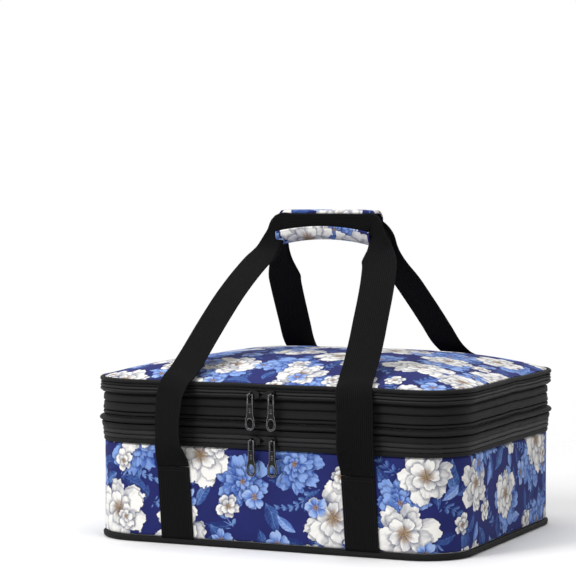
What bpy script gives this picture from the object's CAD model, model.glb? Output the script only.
# Looks of an expandable casserole carrier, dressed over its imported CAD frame.
# Lengths are millimetres until a mesh is made. X runs along the length and the front faces -Y.
import math

import bmesh
import bpy
import numpy as np
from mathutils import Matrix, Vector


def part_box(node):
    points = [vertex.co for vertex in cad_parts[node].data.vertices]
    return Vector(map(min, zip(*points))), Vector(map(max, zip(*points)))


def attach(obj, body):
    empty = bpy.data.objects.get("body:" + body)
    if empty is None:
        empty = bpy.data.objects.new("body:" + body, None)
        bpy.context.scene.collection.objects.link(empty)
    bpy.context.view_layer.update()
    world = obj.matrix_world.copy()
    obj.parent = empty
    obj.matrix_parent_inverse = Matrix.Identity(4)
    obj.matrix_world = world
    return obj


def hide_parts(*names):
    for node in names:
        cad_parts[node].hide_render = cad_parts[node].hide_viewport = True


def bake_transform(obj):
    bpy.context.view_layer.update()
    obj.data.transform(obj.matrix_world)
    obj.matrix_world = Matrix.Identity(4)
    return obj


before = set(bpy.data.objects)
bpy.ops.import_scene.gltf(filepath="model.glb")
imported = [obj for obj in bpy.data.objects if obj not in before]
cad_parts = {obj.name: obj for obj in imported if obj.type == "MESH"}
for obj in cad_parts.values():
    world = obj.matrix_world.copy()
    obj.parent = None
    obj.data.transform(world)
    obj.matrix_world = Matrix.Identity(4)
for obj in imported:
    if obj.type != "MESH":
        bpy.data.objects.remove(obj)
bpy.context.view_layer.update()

MM = 0.001
TAU = 2 * math.pi
X, Y, Z = range(3)
UV_NAME = "cloth"


def span(node, axis):
    """The lowest and highest millimetre of a CAD node along an axis."""
    low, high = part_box(node)
    return low[axis] / MM, high[axis] / MM


def joined(*axes):
    """Points, from their coordinates along each axis."""
    return np.stack(np.broadcast_arrays(*axes), -1)


def unit(ways):
    """The same directions with a length of 1."""
    return ways / np.linalg.norm(ways, axis=1, keepdims=True)


def length_along(line):
    """The length of a line of points up to each of them."""
    steps = np.linalg.norm(np.diff(line, axis=0), axis=1)
    return np.concatenate([[0], np.cumsum(steps)])


# Measures read from the frame
HALF_LENGTH = span("lower_shell", X)[1]
HALF_DEPTH = span("lower_shell", Y)[1]
SHELL_LOW, SHELL_HIGH = span("lower_shell", Z)
LID_LOW, LID_PEAK = span("lid_cover", Z)
BEND_HEIGHT = span("front_strap_riser_left", Z)[1]
SEWN_HEIGHT = span("front_strap_base_left", Z)[1]
WRAP_LOW, WRAP_HIGH = span("grip_cover", Z)
WRAP_BACK = span("grip_cover", Y)[1]
WRAP_HALF = span("grip_cover", X)[1]

# Measures shared with the CAD source
CORNER_RADIUS = 52
SHELL_THICKNESS = 1.2
STRAP_MIDDLE = 106
STRAP_WIDTH = 38
STRAP_THICKNESS = 2

# Steps round the outline, of bands and of plates
BAND_STATIONS = 360
PLATE_STATIONS = 240


# The body's outline, a rounded rectangle
CORE_X = HALF_LENGTH - CORNER_RADIUS
CORE_Y = HALF_DEPTH - CORNER_RADIUS
ARC = CORNER_RADIUS * math.pi / 2
BREAKS = np.cumsum([0, CORE_X, ARC, 2 * CORE_Y, ARC, 2 * CORE_X, ARC, 2 * CORE_Y, ARC, CORE_X])
BREAK_X = CORE_X * np.array([0, -1, -1, -1, -1, 1, 1, 1, 1, 0])
BREAK_Y = CORE_Y * np.array([1, 1, 1, -1, -1, -1, -1, 1, 1, 1])
BREAK_TURN = np.radians([90, 90, 180, 180, 270, 270, 360, 360, 450, 450])
PERIMETER = BREAKS[-1]
FRONT_MIDDLE = PERIMETER / 2


def contour(along):
    """Points and outward directions of the outline, by its length from the middle of the back.

    It runs past the left side to the front and back along the right side."""
    along = np.mod(along, PERIMETER)
    turn = np.interp(along, BREAKS, BREAK_TURN)
    out = joined(np.cos(turn), np.sin(turn))
    core = joined(np.interp(along, BREAKS, BREAK_X), np.interp(along, BREAKS, BREAK_Y))
    return core + CORNER_RADIUS * out, out


def smoothstep(value, low, high):
    """0 below low, 1 above high and a smooth way between."""
    share = np.clip((value - low) / (high - low), 0, 1)
    return share * share * (3 - 2 * share)


def hump(value, start, full, ebb, end):
    """0 before start, 1 from full to ebb and 0 after end."""
    return smoothstep(value, start, full) * (1 - smoothstep(value, ebb, end))


# Slight unevenness of the sewn bands: cycles round the body, size in millimetres and phase
chance = np.random.default_rng(11)
RIPPLES = [(cycles, 0.34 / cycles**0.5, chance.uniform(0, TAU)) for cycles in (5, 9, 14, 23, 37, 52)]
WAVES = [(cycles, 0.55 / cycles**0.5, chance.uniform(0, TAU)) for cycles in (4, 7, 11, 18, 29)]
# Heights between which it sets in
WAVE_LOW, WAVE_FULL = 100, 118


def waves(along, table, lean=0.0):
    """The sum of a table's waves at lengths along the outline."""
    total = np.zeros(np.shape(along))
    for cycles, size, phase in table:
        total = total + size * np.sin(TAU * cycles * along / PERIMETER + phase + lean)
    return total


def on_body(along, offset, z):
    """Points at an offset out from the outline and a height, with the sewn bands' unevenness."""
    place, out = contour(along)
    share = smoothstep(z, WAVE_LOW, WAVE_FULL)
    offset = offset + share * waves(along, RIPPLES, 0.06 * z)
    z = z + share * waves(along, WAVES)
    return np.concatenate([place + out * offset[..., None], z[..., None]], -1)


# Meshes


def new_object(name, data):
    """A mesh, lamp or camera put into the scene."""
    made = bpy.data.objects.new(name, data)
    bpy.context.scene.collection.objects.link(made)
    return made


def new_piece(name, points, faces, places=None):
    """A smooth mesh in the row frame; places is where each corner lies on the flat cloth."""
    mesh = bpy.data.meshes.new(name)
    mesh.from_pydata((np.asarray(points, float) * MM).tolist(), [], faces)
    if places is not None:
        layer = mesh.uv_layers.new(name=UV_NAME)
        layer.data.foreach_set("uv", np.asarray(places, np.float32).ravel())
    mesh.shade_smooth()
    return new_object(name, mesh)


def face_out(made):
    """Turns every face of a closed mesh outwards."""
    shape = bmesh.new()
    shape.from_mesh(made.data)
    bmesh.ops.recalc_face_normals(shape, faces=shape.faces)
    shape.to_mesh(made.data)
    shape.free()
    return made


def grid_piece(name, points, places, round_rows=False, round_columns=False, caps=None):
    """A quad mesh through a grid of points. A round side joins its last line to its first.

    Caps are the places of two more faces, which close the first and the last row."""
    rows, columns = points.shape[:2]
    if round_columns and places.shape[1] == columns:
        places = np.concatenate([places, places[:, :1]], 1)
    row, column = np.meshgrid(
        np.arange(rows - (not round_rows)), np.arange(columns - (not round_columns)), indexing="ij"
    )
    row = row.ravel()[:, None] + [0, 1, 1, 0]
    column = column.ravel()[:, None] + [0, 0, 1, 1]
    faces = ((row % rows) * columns + column % columns).tolist()
    corners = places[row, column].reshape(-1, 2)
    if caps is not None:
        faces += [list(range(columns)), list(range((rows - 1) * columns, rows * columns))]
        corners = np.concatenate([corners, *caps])
    made = new_piece(name, points.reshape(-1, 3), faces, corners)
    return face_out(made) if round_columns else made


def round_off(outline, times):
    """An open outline with its corners cut off again and again, its two ends kept."""
    line = np.asarray(outline, float)
    for _ in range(times):
        early = 0.75 * line[:-1] + 0.25 * line[1:]
        late = 0.25 * line[:-1] + 0.75 * line[1:]
        middle = np.stack([early, late], 1).reshape(-1, 2)
        line = np.concatenate([line[:1], middle, line[-1:]])
    return line


def ring_piece(name, outer, inner, times=3):
    """A band right round the body: outer is its face as offsets and heights, inner its back's offset."""
    face = round_off(outer, times)
    back = joined(inner, np.linspace(face[-1][1], face[0][1], 3))
    return closed_ring(name, np.concatenate([face, back]))


def closed_ring(name, section, stations=BAND_STATIONS):
    """A closed section of offsets and heights, drawn right round the body."""
    along = (np.arange(stations + 1) * PERIMETER / stations)[:, None]
    offset, z = section.T
    points = on_body(along[:-1], offset, z)
    return grid_piece(name, points, joined(along, z), round_rows=True, round_columns=True)


# How far the flat cloth moves along for each millimetre up a wall
CLOTH_LEAN = 0.7


def loft_rings(name, rings, shift=0):
    """A closed mesh of rings like the outline, each a share of it, an offset and a height."""
    place, out = contour(np.arange(PLATE_STATIONS) * PERIMETER / PLATE_STATIONS)
    lines = []
    for share, offset, z in rings:
        x, y = ((place + out * offset) * share).T
        lines.append(joined(x, y, z))
    grid = np.array(lines)
    places = grid[..., :2] + grid[..., 2:] * CLOTH_LEAN + shift
    return grid_piece(name, grid, places, round_columns=True, caps=grid[[0, -1], :, :2])


def loft_piece(name, levels, shift=0):
    """A closed plate or tub: levels of offset and height from one middle to the other."""
    shares = np.linspace(0, 1, 9)[1:]
    first, *walls, last = levels
    rings = [(share, *first) for share in shares]
    rings += [(1, *wall) for wall in walls]
    rings += [(share, *last) for share in shares[::-1]]
    return loft_rings(name, rings, shift)


def thicken(made, thickness):
    solid = made.modifiers.new("thickness", "SOLIDIFY")
    solid.thickness = thickness * MM
    solid.offset = -1


def subdivide(made):
    finer = made.modifiers.new("finer", "SUBSURF")
    finer.levels = 1
    finer.render_levels = 1


CLOTH_FRAMES = 20
CLOTH_STIFFNESS = 40


def swell(made, held, cap, pressure):
    """Lets cloth under pressure swell a mesh; held pins its points and cap limits their way."""
    scene = bpy.context.scene
    rest = np.array([v.co for v in made.data.vertices])
    pins = made.vertex_groups.new(name="held")
    for index, weight in enumerate(held):
        pins.add([index], float(weight), "REPLACE")
    cloth = made.modifiers.new("cloth", "CLOTH")
    settings = cloth.settings
    settings.vertex_group_mass = pins.name
    settings.use_pressure = True
    settings.uniform_pressure_force = pressure
    settings.effector_weights.gravity = 0
    settings.tension_stiffness = CLOTH_STIFFNESS
    settings.compression_stiffness = CLOTH_STIFFNESS
    cloth.point_cache.frame_start = 1
    cloth.point_cache.frame_end = CLOTH_FRAMES
    for number in range(1, CLOTH_FRAMES + 1):
        scene.frame_set(number)
    ready = made.evaluated_get(bpy.context.evaluated_depsgraph_get())
    moved = np.array([v.co for v in ready.data.vertices])
    made.modifiers.remove(cloth)
    made.vertex_groups.remove(pins)
    scene.frame_set(1)
    way = moved - rest
    length = np.linalg.norm(way, axis=1, keepdims=True)
    limit = cap * MM
    way *= limit * np.tanh(length / limit) / np.maximum(length, 1e-9)
    made.data.vertices.foreach_set("co", (rest + way).ravel())
    made.data.update()


# A stitch's rings, as shares of its half length and of its radius
STITCH_RINGS = [(-0.62, 0.8), (0, 1), (0.62, 0.8)]
STITCH_SIDES = 5
STITCH_RADIUS = 0.3
# Pitch and length of stitches round the body, and of the closer ones on the straps
SEAM_PITCH, SEAM_LENGTH = 3.4, 2.5
TACK_PITCH, TACK_LENGTH = 2.6, 2.2


def stitches(name, middles, forward, outward, length, radius):
    """Short thread stitches, each a small rounded spindle lying on its cloth."""
    middles, forward, outward = (np.asarray(a, float) for a in (middles, forward, outward))
    sideways = np.cross(outward, forward)
    turn = np.arange(STITCH_SIDES) * TAU / STITCH_SIDES
    shape = [[-1, 0, 0]]
    for at, wide in STITCH_RINGS:
        shape += [[at, wide * math.cos(a), wide * math.sin(a)] for a in turn]
    shape = np.array(shape + [[1, 0, 0]]) * [length / 2, radius, radius]
    points = (
        middles[:, None]
        + shape[None, :, :1] * forward[:, None]
        + shape[None, :, 1:2] * sideways[:, None]
        + shape[None, :, 2:] * outward[:, None]
    )
    last = len(shape) - 1
    one = []
    for k in range(STITCH_SIDES):
        after = (k + 1) % STITCH_SIDES
        one.append([0, 1 + after, 1 + k])
        for start in (1, 1 + STITCH_SIDES):
            one.append([start + k, start + after, start + STITCH_SIDES + after, start + STITCH_SIDES + k])
        one.append([last, last - STITCH_SIDES + k, last - STITCH_SIDES + after])
    faces = [[corner + i * len(shape) for corner in face] for i in range(len(middles)) for face in one]
    return new_piece(name, points.reshape(-1, 3), faces)


def stitch_ring(name, offset, z):
    """A row of stitches right round the body."""
    count = int(PERIMETER / SEAM_PITCH)
    along = np.arange(count) * PERIMETER / count
    x, y = contour(along)[1].T
    middles = on_body(along, offset, z)
    return stitches(name, middles, joined(-y, x, 0), joined(x, y, 0), SEAM_LENGTH, STITCH_RADIUS)


def stitch_line(name, start, end, out):
    """A straight row of stitches between two points."""
    start, end = np.asarray(start, float), np.asarray(end, float)
    way = end - start
    count = max(int(np.linalg.norm(way) / TACK_PITCH), 2)
    middles = start + way * ((np.arange(count) + 0.5) / count)[:, None]
    forward = np.tile(way / np.linalg.norm(way), (count, 1))
    return stitches(name, middles, forward, np.tile(out, (count, 1)), TACK_LENGTH, STITCH_RADIUS)


# Node materials


def operation(kind, swapped=False):
    """A method that puts a term and another value into a math node."""

    def made(term, other):
        values = (other, term) if swapped else (term, other)
        return term.graph.math(kind, *values)

    return made


class Term:
    """A node's output that can stand in sums."""

    __add__ = operation("ADD")
    __radd__ = operation("ADD", swapped=True)
    __sub__ = operation("SUBTRACT")
    __rsub__ = operation("SUBTRACT", swapped=True)
    __mul__ = operation("MULTIPLY")
    __rmul__ = operation("MULTIPLY", swapped=True)
    __truediv__ = operation("DIVIDE")

    def __init__(self, graph, socket):
        self.graph = graph
        self.socket = socket

    def __abs__(self):
        return self.graph.math("ABSOLUTE", self)


class Graph:
    """A node tree whose nodes are made by calls."""

    def __init__(self, tree):
        self.tree = tree

    def feed(self, socket, value):
        if isinstance(value, Term):
            self.tree.links.new(value.socket, socket)
        else:
            socket.default_value = value

    def node(self, kind, values, **settings):
        made = self.tree.nodes.new("ShaderNode" + kind)
        for key, value in settings.items():
            setattr(made, key, value)
        for key, value in values.items():
            self.feed(made.inputs[key], value)
        return made

    def term(self, made, output=0):
        return Term(self, made.outputs[output])

    def math(self, operation, *values):
        return self.term(self.node("Math", dict(enumerate(values)), operation=operation))

    def sine(self, value):
        return self.math("SINE", value)

    def smooth(self, value, low, high):
        """0 below low, 1 above high and a smooth way between."""
        values = {"Value": value, "From Min": low, "From Max": high}
        return self.term(self.node("MapRange", values, interpolation_type="SMOOTHSTEP"))

    def mix(self, share, first, second):
        return self.term(self.node("Mix", {0: share, 6: first, 7: second}, data_type="RGBA"), 2)

    def join(self, x, y, z=0.0):
        return self.term(self.node("CombineXYZ", {0: x, 1: y, 2: z}))

    def split(self, vector):
        made = self.node("SeparateXYZ", {0: vector})
        return [self.term(made, axis) for axis in range(3)]

    def flat(self):
        """The place on the flat cloth in millimetres, along and across."""
        return self.split(self.term(self.node("UVMap", {}, uv_map=UV_NAME)))[:2]

    def place(self):
        """The place on the object in millimetres."""
        whole = self.node("TexCoord", {})
        return [axis * 1000 for axis in self.split(self.term(whole, 3))]

    def noise(self, vector, scale, detail=2.0, roughness=0.5):
        values = {"Vector": vector, "Scale": scale, "Detail": detail, "Roughness": roughness}
        return self.term(self.node("TexNoise", values))

    def cells(self, vector, scale, jitter):
        """Distance to the nearest middle, three random shares of its cell, and that middle."""
        values = {"Vector": vector, "Scale": scale, "Randomness": jitter}
        made = self.node("TexVoronoi", values, voronoi_dimensions="2D")
        tint = self.node("SeparateColor", {0: self.term(made, 1)})
        shares = [self.term(tint, share) for share in range(3)]
        return self.term(made, 0), shares, self.split(self.term(made, 2))[:2]

    def grain(self, scale, detail):
        """Noise by the place on the object."""
        return self.noise(self.join(*self.place()), scale, detail)

    def random(self, value):
        return self.term(self.node("TexWhiteNoise", {"W": value}, noise_dimensions="1D"))

    def grouped(self, tree, *values):
        """The outcome of a node group for some values."""
        return self.term(self.node("Group", dict(enumerate(values)), node_tree=tree))


class Finish(Graph):
    """A material with its shader."""

    def __init__(self, name):
        self.material = bpy.data.materials.new(name)
        self.material.use_nodes = True
        super().__init__(self.material.node_tree)
        self.shader = self.tree.nodes["Principled BSDF"]

    def bump(self, height, distance):
        made = self.node("Bump", {"Height": height, "Distance": distance * MM})
        self.feed(self.shader.inputs["Normal"], self.term(made))

    def finish(self, colour, roughness, **constants):
        self.feed(self.shader.inputs["Base Color"], colour)
        self.feed(self.shader.inputs["Roughness"], roughness)
        for key, value in constants.items():
            self.shader.inputs[key.replace("_", " ")].default_value = value
        return self.material


def srgb(red, green, blue):
    """A colour of 0 to 255 shares, as a shader socket takes it."""
    shares = [c / 255 for c in (red, green, blue)]
    linear = [c / 12.92 if c <= 0.04045 else ((c + 0.055) / 1.055) ** 2.4 for c in shares]
    return (*linear, 1.0)


NAVY = srgb(33, 40, 108)
DEEP_NAVY = srgb(22, 27, 78)
# Tones of painted shapes from dark to light
BLUE = (srgb(32, 47, 120), srgb(70, 103, 178), srgb(134, 164, 220))
PALE_BLUE = (srgb(54, 78, 152), srgb(100, 132, 196), srgb(160, 184, 228))
WHITE = (srgb(104, 110, 132), srgb(192, 192, 194), srgb(240, 238, 233))
STEEL = (srgb(28, 44, 104), srgb(58, 88, 150), srgb(110, 142, 194))
OCHRE = srgb(186, 146, 84)
OCHRE_DARK = srgb(96, 82, 58)


def node_group(name, colours, numbers, paint):
    """A node group that paints a colour from some colours and numbers."""
    tree = bpy.data.node_groups.new(name, "ShaderNodeTree")
    for kind, labels in (("Color", colours), ("Float", numbers)):
        for label in labels.split():
            tree.interface.new_socket(label, in_out="INPUT", socket_type=f"NodeSocket{kind}")
    tree.interface.new_socket("paint", in_out="OUTPUT", socket_type="NodeSocketColor")
    g = Graph(tree)
    given = tree.nodes.new("NodeGroupInput")
    wanted = tree.nodes.new("NodeGroupOutput")
    count = len(colours.split()) + len(numbers.split())
    g.feed(wanted.inputs[0], paint(g, *[g.term(given, k) for k in range(count)]))
    return tree


# A share of the paint below that is too small to see
HAIR = 1e-6


def layer(g, under, x, y, cell, turn, shift, jitter):
    """Scattered middles: the place measured from the nearest one, and three random shares of it.

    The place hangs on the paint under it by a hair, so the renderer works layer after layer."""
    c, s = math.cos(turn), math.sin(turn)
    x = x + under * HAIR
    across = x * c + y * s + shift
    up = y * c - x * s + 1.7 * shift
    _, shares, middle = g.cells(g.join(across, up), 1 / cell, jitter)
    return across - middle[0], up - middle[1], shares


def brush(g, tone, dark, middle, light):
    """Paint of a tone between 0 and 1."""
    return g.mix(g.smooth(tone, 0.45, 1.0), g.mix(g.smooth(tone, 0.0, 0.55), dark, middle), light)


def petal_ring(g, under, dark, middle, light, x, y, spin, count, reach, present):
    """One ring of ruffled petals painted over what is under it, with its soft shadow."""
    x = x + under * HAIR
    radius = g.math("SQRT", x * x + y * y)
    turn = g.math("ARCTAN2", y, x) * count / TAU + spin * count
    petal = g.math("FLOOR", turn)
    side = turn - petal - 0.5
    own = g.random(g.math("FLOORED_MODULO", petal, count) + spin * 71)
    wide = abs(side) * 2
    ruffle = g.noise(g.join(x, y, spin * 50), 0.17, 3.0, 0.6) - 0.5
    notch = 0.07 * (1 - g.smooth(wide, 0.0, 0.25))
    edge = reach * (0.86 + 0.24 * own - 0.36 * g.math("POWER", wide, 2.4) + 0.34 * ruffle - notch)
    streak = g.noise(g.join(turn * 11, radius * 0.05, spin * 40), 1.0, 3.0, 0.6)
    wash = g.noise(g.join(x, y, spin * 90 + own * 30), 0.09, 2.0)
    along = radius / edge
    tone = 0.12 + 0.72 * g.smooth(along, 0.0, 0.85) + 0.75 * (streak - 0.5) + 0.9 * (wash - 0.5)
    tone = tone - 0.5 * g.smooth(side, 0.08, 0.5) + 0.36 * (own - 0.5) + 0.16 * g.smooth(0 - side, 0.2, 0.5)
    shadow = (1 - g.smooth(radius - edge, 0.0, 4.0)) * present * 0.5
    under = g.mix(shadow, under, DEEP_NAVY)
    return g.mix(g.smooth(edge - radius, 0.0, 0.7) * present, under, brush(g, tone, dark, middle, light))


def stamens(g, under, x, y, reach, present):
    """A tuft of ochre stamens about a flower's middle."""
    radius = g.math("SQRT", x * x + y * y)
    gap, _, _ = g.cells(g.join(x, y), 0.7, 1.0)
    dots = (1 - g.smooth(gap, 0.22, 0.42)) * (1 - g.smooth(radius, reach * 0.6, reach)) * present
    heart = (1 - g.smooth(radius, 0.0, reach)) * present * 0.8
    under = g.mix(heart, under, OCHRE_DARK)
    return g.mix(dots, under, OCHRE)


def leaf(g, under, dark, middle, light, right, up, spin, pick, size, length, width, amount):
    """A leaf with a rib and side veins."""
    angle = spin * TAU
    c, s = g.math("COSINE", angle), g.sine(angle)
    along = (right * c + up * s) / length
    across = up * c - right * s + along * along * width * 0.35
    half = (1 - along * along) * (1.1 - 0.4 * along) * width
    cover = g.smooth(half - abs(across), 0.0, 0.6) * g.smooth(amount - pick, 0.0, 0.02)
    vein = abs(g.math("FRACT", along * length / 4.2 - abs(across) * 0.2) - 0.5)
    wash = g.noise(g.join(right, up, spin * 30), 0.16, 3.0, 0.6)
    tone = size * 0.5 + 0.4 * g.smooth(across / width, -1, 1) + 0.2 * g.smooth(vein, 0.36, 0.5)
    tone = tone + 0.4 * (1 - g.smooth(abs(across), 0.1, 0.6)) + 1.1 * (wash - 0.5) - 0.1
    return g.mix(cover, under, brush(g, tone, dark, middle, light))


def sprig(g, under, dark, middle, light, right, up, spin, pick, size, length, blade, amount):
    """A thin stem with small leaves on both sides."""
    angle = spin * TAU
    c, s = g.math("COSINE", angle), g.sine(angle)
    along = right * c + up * s
    share = along / length
    across = up * c - right * s + share * share * length * 0.3
    away = abs(across)
    inside = g.smooth(1 - abs(share), 0.0, 0.06) * g.smooth(amount - pick, 0.0, 0.02)
    stem = 1 - g.smooth(away, 0.35, 0.75)
    step = g.math("FRACT", (along - away * 0.8) / (blade * 1.15)) - 0.5
    long = away / (blade * (1.05 - 0.6 * g.smooth(share, -0.6, 1.0)))
    cover = g.smooth(0.34 * g.sine(g.math("MINIMUM", long, 1.0) * math.pi) - abs(step), 0.0, 0.05)
    tone = 0.55 * size + 0.5 * g.smooth(step, -0.3, 0.3) + 0.7 * g.noise(g.join(right, up), 0.2, 2.0) - 0.2
    return g.mix(g.math("MAXIMUM", stem, cover) * inside, under, brush(g, tone, dark, middle, light))


TONES = "under dark middle light"
PETALS = node_group("petals", TONES, "x y spin count reach present", petal_ring)
STAMENS = node_group("stamens", "under", "x y reach present", stamens)
LEAF = node_group("leaf", TONES, "right up spin pick size length width amount", leaf)
SPRIG = node_group("sprig", TONES, "right up spin pick size length blade amount", sprig)


def greenery(g, under, x, y, scatter, kind, tones, length, width, amount):
    """Scattered leaves or sprigs."""
    right, up, shares = layer(g, under, x, y, *scatter)
    return g.grouped(kind, under, *tones, right, up, *shares, length, width, amount)


def flowers(g, under, x, y, scatter, rings, tones, reach, amount, tuft):
    """Scattered flowers of some rings of petals, each ring a share of the reach."""
    right, up, shares = layer(g, under, x, y, *scatter)
    present = g.smooth(amount - shares[1], 0.0, 0.02)
    size = reach * (0.84 + 0.3 * shares[2])
    for k, (count, share) in enumerate(rings):
        spin = shares[0] + 0.37 * k
        under = g.grouped(PETALS, under, *tones, right, up, spin, count, size * share, present)
    return g.grouped(STAMENS, under, right, up, size * tuft, present)


def floral_print(g):
    """A scattered print of white and blue flowers with leaves on navy."""
    x, y = g.flat()
    here = g.join(x, y)
    x = x + 7 * (g.noise(here, 0.04) - 0.5)
    y = y + 7 * (g.noise(g.join(y, x, 40.0), 0.04) - 0.5)
    colour = g.mix(g.noise(here, 0.03, 4.0), DEEP_NAVY, NAVY)
    colour = greenery(g, colour, x, y, (52, 0.9, 23, 0.4), SPRIG, STEEL, 24, 7, 0.75)
    colour = greenery(g, colour, x, y, (40, 0.3, 11, 0.5), LEAF, STEEL, 15, 5.5, 0.85)
    colour = greenery(g, colour, x, y, (50, 1.1, 57, 0.5), LEAF, STEEL, 19, 7, 0.9)
    dense = [(8, 1.0), (7, 0.8), (7, 0.6), (6, 0.42), (5, 0.25)]
    colour = flowers(g, colour, x, y, (84, 0.42, 36, 0.3), dense, BLUE, 34, 0.92, 0.14)
    colour = greenery(g, colour, x, y, (61, -0.6, 31, 0.5), LEAF, PALE_BLUE, 13, 5, 0.7)
    loose = [(6, 1.0), (5, 0.84), (5, 0.5)]
    colour = flowers(g, colour, x, y, (81, -0.31, 77, 0.3), loose, WHITE, 33, 0.9, 0.3)
    colour = flowers(g, colour, x, y, (57, 0.83, 19, 0.4), [(5, 1.0)], PALE_BLUE, 13, 0.5, 0.36)
    return flowers(g, colour, x, y, (63, 0.2, 91, 0.4), [(5, 1.0), (4, 0.6)], WHITE, 14, 0.55, 0.3)


def weave(g, x, y, pitch):
    """The height of a plain weave."""
    step = math.pi / pitch
    return abs(g.sine(x * step)) * 0.5 + abs(g.sine(y * step)) * 0.5


def floral_fabric():
    g = Finish("floral_fabric")
    x, y = g.flat()
    threads = weave(g, x, y, 0.8)
    mottle = g.noise(g.join(x, y), 0.5, 3.0)
    colour = g.mix(0.06 * threads + 0.05 * mottle, floral_print(g), DEEP_NAVY)
    g.bump(threads + 0.6 * mottle, 0.12)
    return g.finish(colour, 0.7 + 0.12 * mottle, Specular_IOR_Level=0.18)


def black_fabric():
    g = Finish("black_fabric")
    x, y = g.flat()
    threads = weave(g, x + y, x - y, 1.1)
    mottle = g.noise(g.join(x, y), 0.12, 4.0)
    tone = 0.6 * threads + 0.5 * mottle
    g.bump(threads + 0.8 * mottle, 0.25)
    colour = g.mix(tone, srgb(8, 8, 9), srgb(26, 26, 27))
    return g.finish(colour, 0.55 + 0.2 * mottle, Specular_IOR_Level=0.13)


def black_webbing():
    g = Finish("black_webbing")
    x, y = g.flat()
    ribs = abs(g.sine(y * (math.pi / 2.1)))
    picks = abs(g.sine(x * (math.pi / 0.9) + ribs * 1.2))
    mottle = g.noise(g.join(x * 0.2, y, 7.0), 0.5, 3.0)
    selvedge = g.smooth(abs(y), STRAP_WIDTH / 2 - 2.2, STRAP_WIDTH / 2 - 0.6)
    tone = 0.45 * ribs + 0.25 * picks + 0.3 * mottle + 0.35 * selvedge
    g.bump(ribs + 0.4 * picks, 0.35)
    colour = g.mix(g.math("MINIMUM", tone, 1.0), srgb(5, 5, 6), srgb(24, 24, 25))
    return g.finish(colour, 0.68 + 0.15 * mottle, Specular_IOR_Level=0.03)


def zip_tape():
    g = Finish("zip_tape")
    x, y = g.flat()
    ribs = abs(g.sine(y * (math.pi / 0.75)))
    picks = abs(g.sine(x * (math.pi / 1.3)))
    mottle = g.noise(g.join(x, y), 0.15, 3.0)
    g.bump(0.7 * ribs + 0.5 * picks, 0.2)
    tone = 0.4 * ribs + 0.3 * picks + 0.4 * mottle
    colour = g.mix(g.math("MINIMUM", tone, 1.0), srgb(7, 7, 8), srgb(28, 28, 29))
    return g.finish(colour, 0.48 + 0.2 * mottle, Specular_IOR_Level=0.22)


def black_metal():
    g = Finish("black_metal")
    worn = g.grain(0.35, 4.0)
    g.bump(g.grain(2.2, 2.0), 0.02)
    colour = g.mix(g.smooth(worn, 0.5, 0.8), srgb(5, 5, 6), srgb(16, 16, 18))
    gloss = {"Specular_IOR_Level": 0.05, "Coat_Weight": 0.4, "Coat_Roughness": 0.2}
    return g.finish(colour, 0.25 + 0.2 * worn, **gloss)


def worn_metal():
    g = Finish("worn_metal")
    worn = g.grain(0.5, 4.0)
    g.bump(worn, 0.03)
    colour = g.mix(g.smooth(worn, 0.3, 0.7), srgb(34, 34, 36), srgb(98, 98, 101))
    return g.finish(colour, 0.3 + 0.2 * worn, Coat_Weight=0.6, Coat_Roughness=0.15)


def foil_lining():
    g = Finish("foil_lining")
    x, y = g.flat()
    crumple = g.noise(g.join(x, y), 0.09, 5.0, 0.6)
    step = math.pi / 9
    lattice = abs(g.sine((x + y) * step)) * abs(g.sine((x - y) * step))
    g.bump(1.6 * crumple + 0.5 * g.smooth(lattice, 0.0, 0.25), 0.5)
    colour = g.mix(crumple, srgb(168, 171, 176), srgb(216, 218, 222))
    return g.finish(colour, 0.26 + 0.2 * crumple, Metallic=0.85)


def foam():
    g = Finish("foam")
    pores = g.grain(0.9, 3.0)
    g.bump(pores, 0.5)
    colour = g.mix(pores, srgb(205, 205, 198), srgb(238, 238, 232))
    return g.finish(colour, 0.85 + 0.1 * pores)


def stiff_board():
    g = Finish("stiff_board")
    x, y, z = g.place()
    grain = g.noise(g.join(x * 0.1, y, z), 0.4, 4.0)
    g.bump(grain, 0.1)
    colour = g.mix(grain, srgb(110, 110, 106), srgb(150, 150, 145))
    return g.finish(colour, 0.55 + 0.2 * grain)


def black_thread():
    g = Finish("black_thread")
    x, y, z = g.place()
    twist = abs(g.sine((x + y + z) * 5.0))
    g.bump(twist, 0.05)
    colour = g.mix(twist, srgb(9, 9, 10), srgb(28, 28, 30))
    return g.finish(colour, 0.5 + 0.15 * twist, Specular_IOR_Level=0.12)


FINISHES = {
    make.__name__: make()
    for make in (
        floral_fabric, black_fabric, black_webbing, zip_tape, black_metal, worn_metal, foil_lining, foam,
        stiff_board, black_thread,
    )
}


def dress(made, body, slot, *nodes, finish=None):
    """Gives a piece its finish, its slot, the CAD nodes it stands for and the body it rides on."""
    made.data.materials.append(FINISHES[finish or slot])
    if nodes:
        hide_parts(*nodes)
    if body:
        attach(made, body)


def sew(made, body, slot="black_fabric"):
    """Gives stitches their thread and the body they ride on."""
    dress(made, body, slot, finish="black_thread")


def height(node):
    low, high = span(node, Z)
    return high - low


def add_band(name, node, body, slot, foot, top, inner=-SHELL_THICKNESS):
    """A ring for a CAD node, drawn through points near its foot and then near its top.

    Each point is an offset and a way up from the foot or down from the top."""
    low, high = span(node, Z)
    face = [(offset, low + up) for offset, up in foot] + [(offset, high - down) for offset, down in top]
    band = ring_piece(name, face, inner)
    dress(band, body, slot, node)
    return band


def add_seam(name, node, body, offset, up):
    """Stitches right round the body, at an offset and a way up from a CAD node's foot."""
    sew(stitch_ring(name, offset, span(node, Z)[0] + up), body)


def cloth_ring(name, node, offset, back, rows=12):
    """A thin upright ring of cloth as high as a CAD node."""
    face = [(offset, z) for z in np.linspace(*span(node, Z), rows)]
    return ring_piece(name, face, back, times=0)


# Base


# How far in the base's cover and foam end
BASE_INSET = 2.6


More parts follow.
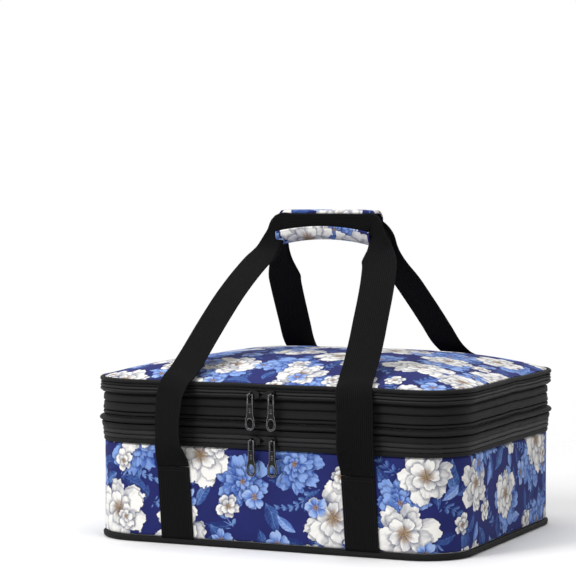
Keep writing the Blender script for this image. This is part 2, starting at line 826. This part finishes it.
def add_base_binding():
    foot = [(-1.8, 0), (0.9, 0.1), (1.9, 1.4), (2.2, 3), (1.9, 4.8)]
    top = [(0.9, -0.2), (-0.4, -0.25), (-1.9, -0.2)]
    add_band("base_binding_welt", "base_binding", "lower_body", "black_fabric", foot, top, inner=-2.2)
    add_seam("base_binding_stitches", "base_binding", "lower_body", 1.95, 4.5)


def add_base_panel():
    top = span("base_cover", Z)[1]
    edge = -BASE_INSET
    panel = loft_piece("base_panel", [(edge - 1, 0.2), (edge, 0.6), (edge, top - 0.3), (edge - 1, top)])
    dress(panel, "lower_body", "black_fabric", "base_cover")


def add_base_padding():
    low, high = span("base_foam", Z)
    edge = -BASE_INSET
    levels = [(edge - 2, low), (edge, low + 1.5), (edge, high - 1.5), (edge - 2, high)]
    pad = loft_piece("base_padding", levels)
    dress(pad, "lower_body", "foam", "base_foam")


# Lower body


def strap_share(along):
    """1 on the outline under a sewn strap and 0 away from it."""
    place, _ = contour(along)
    near = np.abs(np.abs(place[:, 0]) - STRAP_MIDDLE)
    flat_side = np.abs(np.abs(place[:, 1]) - HALF_DEPTH) < 1
    return (1 - smoothstep(near, STRAP_WIDTH / 2 + 1, STRAP_WIDTH / 2 + 14)) * flat_side


def add_lower_panel():
    levels = 15
    heights = np.linspace(SHELL_LOW, SHELL_HIGH, levels)
    back = np.linspace(SHELL_HIGH, SHELL_LOW, 3)
    section = np.concatenate([joined(0, heights), joined(-SHELL_THICKNESS, back)])
    panel = closed_ring("lower_panel", section, PLATE_STATIONS)
    along = np.arange(PLATE_STATIONS) * PERIMETER / PLATE_STATIONS
    free = np.zeros((PLATE_STATIONS, len(section)))
    free[:, 1 : levels - 1] = (1 - strap_share(along))[:, None]
    swell(panel, 1 - free.ravel(), cap=1.6, pressure=4)
    subdivide(panel)
    dress(panel, "lower_body", "floral_fabric", "lower_shell")


# How far in the linings lie, and where the wall's foam steps back to leave the gusset room
LINING = 10.4
STEP_LOW, STEP_HIGH = 85, 89


def add_lower_padding():
    low, high = span("lower_foam", Z)
    outer = [(-2.6, low), (-1.6, low + 1.5), (-1.6, STEP_LOW)]
    outer += [(-4.3, STEP_HIGH), (-4.3, high - 1.2), (-5.4, high)]
    pad = ring_piece("lower_padding", outer, -10)
    dress(pad, "lower_body", "foam", "lower_foam")


def add_lower_liner():
    """A tub of foil with a wall as thin as cloth."""
    low, high = span("lower_lining", Z)
    wall = np.linspace(low + 6, high, 12)
    tub = [(-LINING - 5, low), (-LINING - 1.2, low + 1.4), *[(-LINING, z) for z in wall]]
    tub += [(-LINING - 0.8, z) for z in wall[::-1]]
    tub += [(-LINING - 2, low + 2), (-LINING - 5.5, low + 0.8)]
    liner = loft_piece("lower_liner", tub)
    dress(liner, "lower_body", "foil_lining", "lower_lining")


def add_outer_gusset():
    fold = cloth_ring("gusset_outer_fold", "gusset_lower", -1.6, -2.4)
    dress(fold, None, "floral_fabric", "gusset_lower")
    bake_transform(fold)


# Black bands between the print and the lid


def add_lower_trim():
    foot = [(0.2, 0), (0.8, 0.5), (1.1, 2)]
    add_band("lower_trim_band", "lower_trim", "lower_body", "black_fabric", foot, [(1.1, 0.8), (0.5, 0)])
    add_seam("lower_trim_stitches", "lower_trim", "lower_body", 1.1, 2.2)


def add_lower_zip():
    foot = [(0.6, 0), (1.5, 0.6), (2.0, 1.8)]
    top = [(2.0, 1), (1.2, 0.1), (0.0, 0)]
    add_band("lower_zip_bottom", "lower_zip_bottom_tape", "lower_body", "zip_tape", foot, top)
    foot = [(0.0, 0), (1.2, 0.1), (2.0, 1), (2.2, 2.2)]
    add_band("lower_zip_top", "lower_zip_top_tape", "rim", "zip_tape", foot, [(2.1, 0.4), (1.8, 0)])


def add_rim_roll():
    foot = [
        (1.8, 0), (2.8, 1.2), (3.4, 3.4), (3.2, 5.6), (2.2, 6.4), (-1.6, 6.9), (3.6, 7.5), (5.6, 8.9),
        (5.8, 10.6), (4.4, 12.3), (1.2, 13.2),
    ]
    roll = add_band("rim_padded_roll", "rim_roll", "rim", "black_fabric", foot, [(-0.8, 0)])
    add_seam("rim_roll_stitches", "rim_roll", "rim", 3.25, 4.9)


def add_recess_band():
    foot = [
        (-0.9, 0), (0.4, 0.7), (1.7, 1.8), (1.5, 3.6), (0.9, 4.4), (-2.4, 4.9), (1.1, 5.4), (1.9, 6.4),
        (1.4, 8.6), (0.8, 11), (0.9, 13.6), (-2.4, 14.4), (0.9, 15.1), (1.4, 17), (1.2, 20), (0.4, 22.4),
        (-2.2, 23.4), (0.2, 24.2),
    ]
    add_band("rim_recess_band", "rim_band", "rim", "black_fabric", foot, [(2.2, 0)])
    for number, (offset, up) in enumerate([(0.85, 12.2), (1.15, 16.4), (0.85, 21.2)], 1):
        add_seam(f"rim_band_stitches_{number}", "rim_band", "rim", offset, up)


def add_upper_zip():
    foot = [(2.2, 0), (4.0, 1.1), (4.9, 2.5)]
    top = [(4.9, 1), (4.0, 0.1), (2.2, 0)]
    add_band("upper_zip_bottom", "upper_zip_bottom_tape", "rim", "zip_tape", foot, top)
    add_seam("upper_zip_stitches", "upper_zip_bottom_tape", "rim", 4.75, 2.2)
    foot = [(2.2, 0), (4.0, 0.1), (4.9, 0.9)]
    add_band("upper_zip_top", "upper_zip_top_tape", "lid", "zip_tape", foot, [(4.7, 0.8), (3.6, 0)])


def add_lid_band():
    foot = [(3.2, 0), (4.2, 0.5), (4.5, 1.3)]
    add_band("lid_edge_band", "lid_band", "lid", "black_fabric", foot, [(4.1, 0.5), (2.8, 0)])


def add_lid_piping():
    low, high = span("lid_piping", Z)
    radius = (high - low) / 2 + 0.1
    turn = np.arange(20) * TAU / 20
    middle = span("lid_piping", Y)[1] - HALF_DEPTH - radius + 0.2
    section = joined(middle + radius * np.cos(turn), (low + high) / 2 + radius * np.sin(turn))
    dress(closed_ring("lid_edge_piping", section), "lid", "black_fabric", "lid_piping")


def add_rim_padding():
    """The rim's foam and the binding over its top edge."""
    foot = [(-5.2, 0), (-4.3, 1), (-4.3, 4.5), (-1.8, 8)]
    pad = add_band("rim_padding", "rim_foam", "rim", "foam", foot, [(-1.8, 2.4), (-3, 1)], inner=-9.9)
    top = span("rim_foam", Z)[1]
    edge = ring_piece("rim_top_binding", [(-1.3, top - 0.95), (-1.3, top - 0.05)], -11.2, times=0)
    dress(edge, "rim", "black_fabric")


def add_rim_liner():
    liner = cloth_ring("rim_liner", "rim_lining", -LINING, -11.1, rows=10)
    dress(liner, "rim", "foil_lining", "rim_lining")


def add_inner_gusset():
    fold = cloth_ring("gusset_inner_fold", "gusset_upper", -2.9, -3.7)
    dress(fold, "rim", "floral_fabric", "gusset_upper")


def add_lid_hinge():
    half = span("lid_hinge_strip", X)[1]
    back = span("lid_hinge_strip", Y)[1]
    across = np.linspace(-half, half, 60)
    up = np.linspace(*span("lid_hinge_strip", Z), 12)
    grid = joined(across[:, None], back, up)
    strip = grid_piece("lid_hinge_fabric", grid, grid[..., [0, 2]])
    thicken(strip, 0.9)
    dress(strip, "rim", "black_fabric", "lid_hinge_strip")


# Lid


# Points along a side of the lid's grid, and the power that draws them together near its edge
LID_SIDE = 61
LID_CROWDING = 1.25
LID_EDGE = 0.25
LID_FOOT = LID_LOW + 1.6
LID_PRINT = (2000, 300)
CROWN_POWER = 2.9
# How far the cloth simulation may lift the lid, which starts that much lower
LID_SWELL = 2.5
LID_RISE = LID_PEAK - LID_FOOT - LID_SWELL
# How far in from the outline and down from the cover its foam lies
PAD_INSET, PAD_DROP = 1.6, 1.4


def square_to_outline(a, b):
    """Points of a square grid moved onto the outline's shape, and how far out each lies."""
    far = np.maximum(np.abs(a), np.abs(b))
    safe = np.maximum(far, 1e-9)
    front_back = np.abs(b) >= np.abs(a)
    reach_x = CORE_X + ARC / 2
    reach_y = CORE_Y + ARC / 2
    front = FRONT_MIDDLE + a / safe * reach_x
    back = -a / safe * reach_x
    right = FRONT_MIDDLE + reach_x + reach_y + b / safe * reach_y
    left = FRONT_MIDDLE - reach_x - reach_y - b / safe * reach_y
    along = np.where(front_back, np.where(b < 0, front, back), np.where(a > 0, right, left))
    return along, far


def add_lid_padding():
    """The foam under the lid's cover, flat below and domed above."""
    low = span("lid_foam", Z)[0]
    shares = np.linspace(0, 1, 15)[1:]
    rings = [(share, -PAD_INSET, low) for share in shares]
    for share in shares[::-1]:
        rings.append((share, -PAD_INSET, LID_LOW - PAD_DROP + LID_RISE * (1 - share**CROWN_POWER)))
    pad = loft_rings("lid_padding", rings)
    dress(pad, "lid", "foam", "lid_foam")


def add_lid_cover():
    line = np.linspace(-1, 1, LID_SIDE)
    line = np.sign(line) * (1 - (1 - np.abs(line)) ** LID_CROWDING)
    along, far = square_to_outline(*np.meshgrid(line, line, indexing="ij"))
    x, y, foot = np.moveaxis(on_body(along, LID_EDGE, LID_FOOT), -1, 0)
    z = LID_FOOT + far * (foot - LID_FOOT) + LID_RISE * (1 - far**CROWN_POWER)
    grid = joined(x * far, y * far, z)
    top = grid_piece("lid_top", grid, grid[..., :2] + LID_PRINT)
    swell(top, smoothstep(far, 0.9, 0.985).ravel(), cap=LID_SWELL, pressure=2)
    subdivide(top)
    thicken(top, 1.2)
    dress(top, "lid", "floral_fabric", "lid_cover")


def add_lid_liner():
    low, high = span("lid_lining", Z)
    levels = [(-3, low), (-1.6, low + 0.2), (-1.6, high - 0.2), (-3, high)]
    liner = loft_piece("lid_liner", levels, shift=700)
    dress(liner, "lid", "foil_lining", "lid_lining")


# Straps


STRAP_GAP = 0.3
# Courses of the loose straps' middles from the bar tack to the grip: half spacing, depth and height
LOOSE_COURSE = [
    (106, 171.3, 83.4), (106.2, 173.4, 88), (106.6, 179.6, 98), (107, 185.6, 111), (107, 187.6, 124),
    (106.8, 187.4, 137), (106.2, 186.2, 149), (105.2, 184.2, 159),
]
LEG_COURSES = {
    "front": [
        (103.6, 181, 168.5), (101.6, 175, 176.6), (99.2, 162.5, 185.5), (96.9, 145.5, 200),
        (93.4, 124.5, 220), (89.2, 104.3, 240), (84.6, 83, 260), (78.6, 60, 280), (70.6, 36, 300),
        (65, 22.5, 312), (59.6, 16, 326),
    ],
    "back": [
        (104, 182.6, 168), (102.6, 179, 174.2), (99.8, 167.5, 181.8), (96, 144.5, 190.6),
        (92.6, 127.5, 201), (88.2, 108, 220), (83.5, 87.5, 240), (78.4, 66.5, 260), (73, 46, 280),
        (68.2, 28.6, 299), (65.2, 20, 313), (62.6, 15.6, 324),
    ],
}


def curve_through(points, spacing):
    """Points at even steps on a smooth curve through the given ones, and their lengths along it."""
    points = np.asarray(points, float)
    at = length_along(points)
    slopes = np.gradient(points, at, axis=0)
    share = np.linspace(0, 1, 24, endpoint=False)[:, None]
    late = smoothstep(share, 0, 1)
    pieces = []
    for k, gap in enumerate(np.diff(at)):
        bulge = slopes[k] * share * (1 - share) ** 2 - slopes[k + 1] * share**2 * (1 - share)
        pieces.append(points[k] * (1 - late) + points[k + 1] * late + gap * bulge)
    line = np.concatenate([*pieces, points[-1:]])
    length = length_along(line)
    even = np.linspace(0, length[-1], int(length[-1] / spacing) + 1)
    return joined(*[np.interp(even, length, axis) for axis in line.T]), even


FOLD_RADIUS = 1.5
# Places across the webbing, close together on the half that folds
WEB_HALF = np.concatenate([
    [-19, -18.8, -18, -16, -13, -10, -7, -4, -2, 0], np.arange(0.8, 18, 0.8), [18.3, 18.8, 19],
])


def folded_section(fold):
    """A webbing section with a share of its inner half folded behind.

    Its points are places across, out and on the flat cloth."""
    half = STRAP_THICKNESS / 2 * np.clip((STRAP_WIDTH / 2 - np.abs(WEB_HALF)) / 0.8, 0, 1) ** 0.5
    line = STRAP_WIDTH / 2 * (1 - fold)
    beyond = np.maximum(WEB_HALF - line, 0)
    bend = np.minimum(beyond / FOLD_RADIUS, math.pi)
    tail = np.maximum(beyond - math.pi * FOLD_RADIUS, 0)
    across = np.minimum(WEB_HALF, line) + FOLD_RADIUS * np.sin(bend) + tail * np.cos(bend)
    depth = -FOLD_RADIUS * (1 - np.cos(bend)) - tail * np.sin(bend)
    shift = fold * (STRAP_WIDTH / 4 - FOLD_RADIUS + 0.4)
    middle = joined(across + shift, depth + fold * FOLD_RADIUS, WEB_HALF)
    out = joined(half * np.sin(bend), half * np.cos(bend), 0)
    return np.concatenate([middle + out, (middle - out)[-2:0:-1]])


# How far the webbing lies to the right of an even layout: sewn end, loose riser and grip
SEWN_SLANT = {"front": 5, "back": 0}
RISER_SWAY = {"front": 2.2, "back": -1.8}
GRIP_SWAY = {"front": 0.8, "back": -2}
GRIP_SPREAD = {"front": 1.2, "back": 0}
# Heights between which a riser's and a grip's sway set in
RISER_SWAYS = (84, 112)
GRIP_SWAYS = (170, 330)


def sway(handle, x, z):
    """How far a loose handle swings sideways at a place."""
    grip = GRIP_SWAY[handle] + GRIP_SPREAD[handle] * np.clip(x / 60, -1, 1)
    return RISER_SWAY[handle] * smoothstep(z, *RISER_SWAYS) + grip * smoothstep(z, *GRIP_SWAYS)


TWIST_LOW = math.radians(20)
TWIST_HIGH = math.radians(7.5)
CREASE_SLANT = 0.85
GRIP_TURN = 34
GRIP_INSET = 4
GRIP_LIFT = {"front": 3, "back": 0}
GRIP_ARCH = {"front": 0, "back": 5.5}
# Shares of the way from the grip's middle to its end, and of its rise there
ARCH_SHAPE = [(1, 0), (0.75, 0.44), (0.5, 0.75), (0.25, 0.94), (0, 1)]
# Lengths before the grip at which the inner half begins to fold and lies folded
FOLD_FROM = {"front": 60, "back": 80}
FOLD_TO = {"front": 8, "back": 24}


def handle_half(handle, facing):
    """Half of a handle's webbing, from its left bar tack to the middle of the grip.

    Its points come with their lengths along it and the length at which the grip begins."""
    node = f"{handle}_grip_strap"
    y = np.mean(span(node, Y))
    z = np.mean(span(node, Z)) + GRIP_LIFT[handle]
    end = GRIP_INSET - span(node, X)[1]
    course = np.array(LOOSE_COURSE + LEG_COURSES[handle]) * [-1, facing, 1]
    bar = [(end * share, y, z + GRIP_ARCH[handle] * rise) for share, rise in ARCH_SHAPE]
    line, length = curve_through([*course, *bar], spacing=2.6)
    nearest = np.argmin(np.linalg.norm(line - [end, y, z], axis=1))
    return line, length, length[nearest]


def handle_frames(line, length, grip_at, facing):
    """By point: the ways to a webbing's inner edge and out of it, and that edge's pull back."""
    tangent = unit(np.gradient(line, length, axis=0))
    bend_at = BEND_HEIGHT - SEWN_HEIGHT
    twist = TWIST_LOW * hump(length, 0, 40, bend_at - 26, bend_at + 34)
    twist += TWIST_HIGH * hump(length, bend_at, bend_at + 70, grip_at - 60, grip_at)
    turn = math.pi / 2 * smoothstep(length, grip_at - GRIP_TURN, grip_at + 2)
    across = joined(np.cos(turn) * np.cos(twist), facing * np.sin(twist), -np.sin(turn))
    across = unit(across - np.sum(across * tangent, 1, keepdims=True) * tangent)
    out = -facing * np.cross(across, tangent)
    crease = CREASE_SLANT * hump(length, 10, bend_at - 20, bend_at, bend_at + 80)
    return across, out, -crease[:, None] * tangent


def mirrored(values):
    """Values along a half handle, followed by their mirror image from the middle on."""
    return np.concatenate([values, values[-2::-1] * [-1, 1, 1]])


def add_handle(handle, facing):
    """A handle's webbing: two loose legs with the grip between them, and its two sewn ends."""
    line, length, grip_at = handle_half(handle, facing)
    frames = handle_frames(line, length, grip_at, facing)
    fold = smoothstep(length, grip_at - FOLD_FROM[handle], grip_at - FOLD_TO[handle])
    sections = np.stack([folded_section(share) for share in fold])
    sections = np.concatenate([sections, sections[-2::-1]])
    line, across, out, pull = (mirrored(values)[:, None] for values in (line, *frames))
    aside, away, flat = np.split(sections, 3, axis=-1)
    grid = line + aside * across + away * out + np.maximum(aside, 0) * pull
    grid[..., 0] += sway(handle, grid[..., 0], grid[..., 2])
    along = np.concatenate([length, 2 * length[-1] - length[-2::-1]])
    places = joined(along[:, None], flat[..., 0])
    strap = grid_piece(f"{handle}_strap_webbing", grid, places, round_columns=True, caps=places[[0, -1]])
    nodes = [f"{handle}_strap_{part}_{side}" for part in ("riser", "leg") for side in ("left", "right")]
    dress(strap, None, "black_webbing", *nodes, f"{handle}_grip_strap")
    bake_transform(strap)
    for name, side in (("left", -1), ("right", 1)):
        add_strap_base(handle, facing, name, side * STRAP_MIDDLE)


def add_strap_base(handle, facing, name, x):
    """The stretch of webbing that is sewn to the body."""
    heights = np.linspace(SHELL_LOW, SEWN_HEIGHT, 28)[:, None]
    section = folded_section(0)
    slant = SEWN_SLANT[handle] * (SEWN_HEIGHT - heights) / (SEWN_HEIGHT - SHELL_LOW)
    y = facing * (HALF_DEPTH + STRAP_GAP + STRAP_THICKNESS / 2) + facing * section[:, 1]
    grid = joined(x + section[:, 0] + slant, y, heights)
    places = joined(heights, section[:, 2])
    piece = f"{handle}_strap_sewn_{name}"
    base = grid_piece(piece, grid, places, round_columns=True, caps=places[[0, -1]])
    dress(base, "lower_body", "black_webbing", f"{handle}_strap_base_{name}")
    add_strap_stitches(handle, facing, name, x)


def add_strap_stitches(handle, facing, name, x):
    """Stitches along both edges of a sewn strap and two rows of its bar tack."""
    rows = {}
    for edge, sign in (("edge_left", -1), ("edge_right", 1)):
        side = x + sign * (STRAP_WIDTH / 2 - 3.2)
        rows[edge] = (side + SEWN_SLANT[handle], SHELL_LOW + 3), (side, SEWN_HEIGHT - 1)
    reach = STRAP_WIDTH / 2 - 2.4
    for tack, down in (("tack_1", 1.2), ("tack_2", 4)):
        rows[tack] = (x - reach, SEWN_HEIGHT - down), (x + reach, SEWN_HEIGHT - down)
    face = facing * (HALF_DEPTH + STRAP_GAP + STRAP_THICKNESS)
    for row, ends in rows.items():
        start, end = ((across, face, z) for across, z in ends)
        line = stitch_line(f"{handle}_strap_{row}_{name}", start, end, (0, facing, 0))
        sew(line, "lower_body", "black_webbing")


# Grip


WRAP_RADIUS = 11
FLAP_RADIUS = 10
LIP_LOW_FRONT = -8
LIP_HIGH_FRONT = -10.6
LINING_DEPTH = 2.6
STRIP_WIDTH = 14
# Where on the print the wrap and its flap are cut
WRAP_PRINT = (3100, 900)
FLAP_PRINT = (3100, 780)


def wrap_line(depth):
    """The wrap's section from its top lip round the back to its lower lip, at a depth inside it."""
    middle = WRAP_BACK - WRAP_RADIUS
    radius = WRAP_RADIUS - depth
    upper = WRAP_HIGH - WRAP_RADIUS
    lower = WRAP_LOW + WRAP_RADIUS
    turn = np.radians(np.linspace(90, 0, 10))
    return np.concatenate([
        joined(np.linspace(LIP_HIGH_FRONT, middle, 12)[:-1], WRAP_HIGH - depth),
        joined(middle + radius * np.cos(turn), upper + radius * np.sin(turn)),
        joined(WRAP_BACK - depth, np.linspace(upper, lower, 7)[1:-1]),
        joined(middle + radius * np.sin(turn), lower - radius * np.cos(turn)),
        joined(np.linspace(middle, LIP_LOW_FRONT, 8)[1:], WRAP_LOW + depth),
    ])


def edge_drop(distance, radius):
    """How far a padded cloth falls off within a radius of its edge."""
    share = np.clip(1 - distance / radius, 0, 1)
    return radius * (1 - np.sqrt(1 - share * share))


# How far the wrap's lower side is drawn up at its ends, and how much more in its middle
ARCH_ENDS = 4
ARCH = 7


def arch(x, z):
    """The lower side is drawn up, most of all in the middle of the grip."""
    share = 1 - smoothstep(z, WRAP_LOW + 8, WRAP_LOW + 32)
    return share * (ARCH * (1 - (x / WRAP_HALF) ** 2) + ARCH_ENDS)


def shell_on(line, half, drop, proud):
    """A padded cloth over a section line drawn along X, rounded down at its edges.

    Its points come with their places on the flat cloth and their distances from its edge."""
    length = length_along(line)
    slope = unit(np.gradient(line, length, axis=0))
    x = half * np.sin(np.linspace(-1, 1, 57) * math.pi / 2)[:, None]
    away = np.minimum(half - np.abs(x), np.minimum(length, length[-1] - length))
    out = proud * smoothstep(away, 0, 14) - edge_drop(away, drop)
    y = line[:, 0] - out * slope[:, 1]
    z = line[:, 1] + out * slope[:, 0]
    return joined(x, y, z + arch(x, z)), joined(x, -length), away


def add_wrap_cover():
    grid, places, away = shell_on(wrap_line(0), WRAP_HALF, drop=3.2, proud=0.5)
    cover = grid_piece("grip_wrap", grid, places + WRAP_PRINT)
    swell(cover, (1 - smoothstep(away, 2, 12)).ravel(), cap=0.8, pressure=2)
    thicken(cover, 1.2)
    dress(cover, "back_handle", "floral_fabric", "grip_cover")


def add_wrap_lining():
    grid, places, _ = shell_on(wrap_line(LINING_DEPTH)[1:-1], WRAP_HALF - 2, drop=1.4, proud=0)
    pad = grid_piece("grip_wrap_lining", grid, places)
    thicken(pad, 1.6)
    dress(pad, "back_handle", "black_fabric", "grip_pad")


def add_flap():
    front, start = span("grip_flap", Y)
    turn = np.radians(np.linspace(-90, -180, 14))
    middle = np.array([front + FLAP_RADIUS, WRAP_LOW + FLAP_RADIUS])
    bend = middle + FLAP_RADIUS * joined(np.cos(turn), np.sin(turn))
    rise = [(front, WRAP_LOW + FLAP_RADIUS + up) for up in (1.2, 2.1, 3)]
    line = np.concatenate([[(start, WRAP_LOW)], bend, rise])[::-1]
    grid, places, _ = shell_on(line, WRAP_HALF, drop=1.6, proud=0.3)
    flap = grid_piece("grip_flap_cover", grid, places + FLAP_PRINT)
    thicken(flap, 2.2)
    dress(flap, "grip_flap", "floral_fabric", "grip_flap")


def add_loop_strip():
    half = span("grip_fastener", X)[1]
    top = span("grip_fastener", Z)[1]
    x = np.linspace(-half, half, 40)
    y = np.linspace(LIP_HIGH_FRONT, LIP_HIGH_FRONT + STRIP_WIDTH, 8)
    grid = joined(x[:, None], y, top)
    strip = grid_piece("grip_loop_strip", grid, grid[..., :2])
    thicken(strip, 1.1)
    dress(strip, "back_handle", "black_fabric", "grip_fastener")


# Zip sliders and pullers


# Corners nearer than this are one, and edges sharper than this are softened
WELD_GAP = 0.001
SHARP_ANGLE = math.radians(28)


def polish(node, finish, width):
    """Gives a CAD node its finish and soft edges."""
    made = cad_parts[node]
    made.material_slots[0].material = FINISHES[finish]
    joined = made.modifiers.new("joined_corners", "WELD")
    joined.merge_threshold = WELD_GAP * MM
    edges = made.modifiers.new("soft_edges", "BEVEL")
    edges.width = width * MM
    edges.segments = 3
    edges.limit_method = "ANGLE"
    edges.angle_limit = SHARP_ANGLE


def front_loops(node):
    """Closed outlines of a CAD node's front face, as points across and up with the face on their left."""
    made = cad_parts[node]
    ways = set()
    for face in made.data.polygons:
        if face.normal.y < -0.99:
            corners = [made.matrix_world @ made.data.vertices[v].co for v in face.vertices]
            keys = [(round(c.x / MM, 2), round(c.z / MM, 2)) for c in corners]
            ways |= set(zip(keys, keys[1:] + keys[:1]))
    after = {start: end for start, end in ways if (end, start) not in ways}
    loops = []
    while after:
        loop = [min(after)]
        while loop[-1] in after:
            loop.append(after.pop(loop[-1]))
        loops.append(np.array(loop[:-1]))
    return loops


RIM_RADIUS = 0.38
RIDGE_LENGTH = 3.6
RIDGE_RADIUS = 0.42
RIDGE_STEP = 1.9
# The share of a puller's height at which its ridges lie, from its top
RIDGES_DOWN = 0.46


def add_puller_rims(node):
    """The raised rims round a puller's outline and its openings, where the black has worn off."""
    front = span(node, Y)[0]
    turn = np.arange(8) * TAU / 8
    for number, loop in enumerate(front_loops(node), 1):
        way = unit(np.roll(loop, -1, 0) - np.roll(loop, 1, 0))
        inward = joined(-way[:, 1], way[:, 0])[:, None]
        middle = loop[:, None] + inward * RIM_RADIUS
        face = middle + RIM_RADIUS * np.cos(turn)[:, None] * inward
        grid = joined(face[..., 0], front + RIM_RADIUS * np.sin(turn), face[..., 1])
        places = np.zeros((len(loop) + 1, len(turn), 2))
        rim = grid_piece(f"{node}_rim_{number}", grid, places, round_rows=True, round_columns=True)
        dress(rim, node, "black_metal", finish="worn_metal")


def add_puller_ridges(node):
    """Three cast ridges across a puller's neck."""
    middle = sum(span(node, X)) / 2
    front = span(node, Y)[0]
    high = span(node, Z)[1] - height(node) * RIDGES_DOWN
    points = [(middle, front, high + step * RIDGE_STEP) for step in (-1, 0, 1)]
    right, out = [(1, 0, 0)] * 3, [(0, -1, 0)] * 3
    ridges = stitches(f"{node}_ridges", points, right, out, RIDGE_LENGTH, RIDGE_RADIUS)
    dress(ridges, node, "black_metal", finish="worn_metal")


def add_zips():
    for zip_name in ("upper", "lower"):
        for side in ("left", "right"):
            polish(f"{zip_name}_slider_{side}", "black_metal", 0.4)
            polish(f"{zip_name}_puller_{side}", "black_metal", 0.5)
            add_puller_rims(f"{zip_name}_puller_{side}")
            add_puller_ridges(f"{zip_name}_puller_{side}")
    polish("base_board", "stiff_board", 0.3)


# Stage, light and camera


FLOOR_HALF = 6000
# Distances from the middle between which the floor gets paler, and fades into the white behind it
FLOOR_PALER = (500, 1500)
FLOOR_FADES = (500, 1150)
SOFT_LIGHT = 0.28
# Lamps: place and size in metres, and power in watts
LAMPS = {
    "key": ((-1.3, -2.2, 2.0), 1.6, 62),
    "fill": ((2.4, -1.4, 1.4), 1.8, 17),
    "top": ((0, 0.3, 2.6), 2.2, 44),
    "glint": ((-0.7, -1.9, 1.5), 0.35, 8),
}
LAMP_TARGET = (0, 0, 0.12)


def add_floor():
    line = np.array([-FLOOR_HALF, FLOOR_HALF])
    grid = joined(line[:, None], line, 0)
    floor = grid_piece("floor", grid, grid[..., :2])
    g = Finish("floor")
    x, y, _ = g.place()
    far = g.math("SQRT", x * x + y * y)
    g.finish(g.mix(g.smooth(far, *FLOOR_PALER), srgb(238, 238, 238), srgb(250, 250, 250)), 0.9)
    clear = g.term(g.node("BsdfTransparent", {}))
    shown = g.node("MixShader", {0: g.smooth(far, *FLOOR_FADES), 1: g.term(g.shader), 2: clear})
    g.feed(g.tree.nodes["Material Output"].inputs["Surface"], g.term(shown))
    floor.data.materials.append(g.material)


def add_world():
    """Soft white light, and pure white for the camera and in reflections."""
    world = bpy.data.worlds.new("studio")
    bpy.context.scene.world = world
    world.use_nodes = True
    g = Graph(world.node_tree)
    soft = g.tree.nodes["Background"]
    soft.inputs["Color"].default_value = (1, 1, 1, 1)
    soft.inputs["Strength"].default_value = SOFT_LIGHT
    white = g.node("Background", {"Color": (1, 1, 1, 1), "Strength": 1})
    path = g.node("LightPath", {})
    shown = g.math("MAXIMUM", g.term(path, "Is Camera Ray"), g.term(path, "Is Glossy Ray"))
    shown = g.math("MAXIMUM", shown, g.term(path, "Is Transmission Ray"))
    pick = g.node("MixShader", {0: shown, 1: g.term(soft), 2: g.term(white)})
    g.feed(g.tree.nodes["World Output"].inputs["Surface"], g.term(pick))


def add_light(name, place, size, power):
    light = bpy.data.lights.new(name, "AREA")
    light.shape = "DISK"
    light.size = size
    light.energy = power
    made = new_object(name, light)
    made.location = place
    way = np.array(LAMP_TARGET) - np.array(place)
    flat = math.hypot(way[0], way[1])
    made.rotation_euler = (math.atan2(flat, -way[2]), 0, math.atan2(way[1], way[0]) - math.pi / 2)


# The camera fitted to the photograph: place in metres, degrees and millimetres
CAMERA_PLACE = (1.03681, -2.39364, 0.39067)
CAMERA_DIP = 2.716
CAMERA_TURN = 24.425
CAMERA_LENS = 147.84
CAMERA_SENSOR = 36


def add_camera():
    camera = bpy.data.cameras.new("camera")
    camera.sensor_width = CAMERA_SENSOR
    camera.lens = CAMERA_LENS
    made = new_object("camera", camera)
    made.location = CAMERA_PLACE
    made.rotation_euler = (math.radians(90 - CAMERA_DIP), 0, math.radians(CAMERA_TURN))
    bpy.context.scene.camera = made


add_camera()
add_base_binding()
add_base_panel()
add_base_padding()
add_lower_panel()
add_lower_padding()
add_lower_liner()
add_outer_gusset()
add_lower_trim()
add_lower_zip()
add_rim_roll()
add_recess_band()
add_upper_zip()
add_lid_band()
add_lid_piping()
add_rim_padding()
add_rim_liner()
add_inner_gusset()
add_lid_hinge()
add_lid_cover()
add_lid_padding()
add_lid_liner()
add_handle("front", -1)
add_handle("back", 1)
add_wrap_cover()
add_wrap_lining()
add_flap()
add_loop_strip()
add_zips()
add_floor()
add_world()
for lamp, settings in LAMPS.items():
    add_light(lamp, *settings)
bpy.context.scene.view_settings.view_transform = "Standard"
